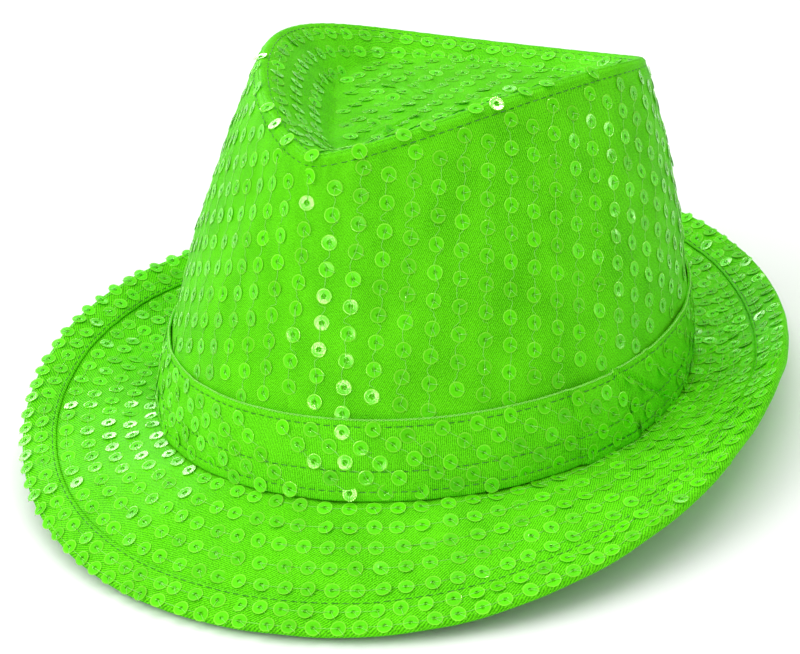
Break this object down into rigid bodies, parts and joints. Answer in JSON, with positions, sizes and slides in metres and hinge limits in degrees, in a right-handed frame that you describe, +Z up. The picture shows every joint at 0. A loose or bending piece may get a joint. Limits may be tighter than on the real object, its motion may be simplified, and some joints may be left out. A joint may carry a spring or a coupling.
{
  "type": "fedora hat",
  "caption": "Short-brimmed fedora in neon green sequin cloth: teardrop crown with a dished top, cloth hat band, and a brim dipped at the front and raised at the sides and back",
  "frame": {"origin": "centre of the hat's footprint, on the surface it rests on", "axes": "+Z up, the front of the hat faces -Y, +X is the wearer's left; the hat leans back 5.5 degrees as it lies on the front edge and the back edge of its brim"},
  "size_m": [0.2486, 0.2901, 0.1222],
  "materials": {
    "sequin_cloth": "satin",
    "band_cloth": "satin",
    "thread": "matte",
    "buckram": "matte",
    "lining": "satin",
    "sweatband_cloth": "matte"
  },
  "bodies": {
    "root": {"crown_side_panel": "sequin_cloth", "crown_tip_panel": "sequin_cloth", "brim_top_panel": "sequin_cloth", "brim_under_panel": "sequin_cloth", "brim_binding": "sequin_cloth", "hat_band": "band_cloth", "hat_band_end_tab": "band_cloth", "crown_side_stiffener": "buckram", "crown_tip_stiffener": "buckram", "brim_stiffener": "buckram", "crown_side_lining": "lining", "crown_tip_lining": "lining", "sweatband": "sweatband_cloth", "crest_stitch_side": "thread", "crest_stitch_tip": "thread", "band_stitch_lower": "thread", "band_stitch_middle": "thread", "band_stitch_upper": "thread", "brim_binding_stitch": "thread"}
  },
  "joints": []
}
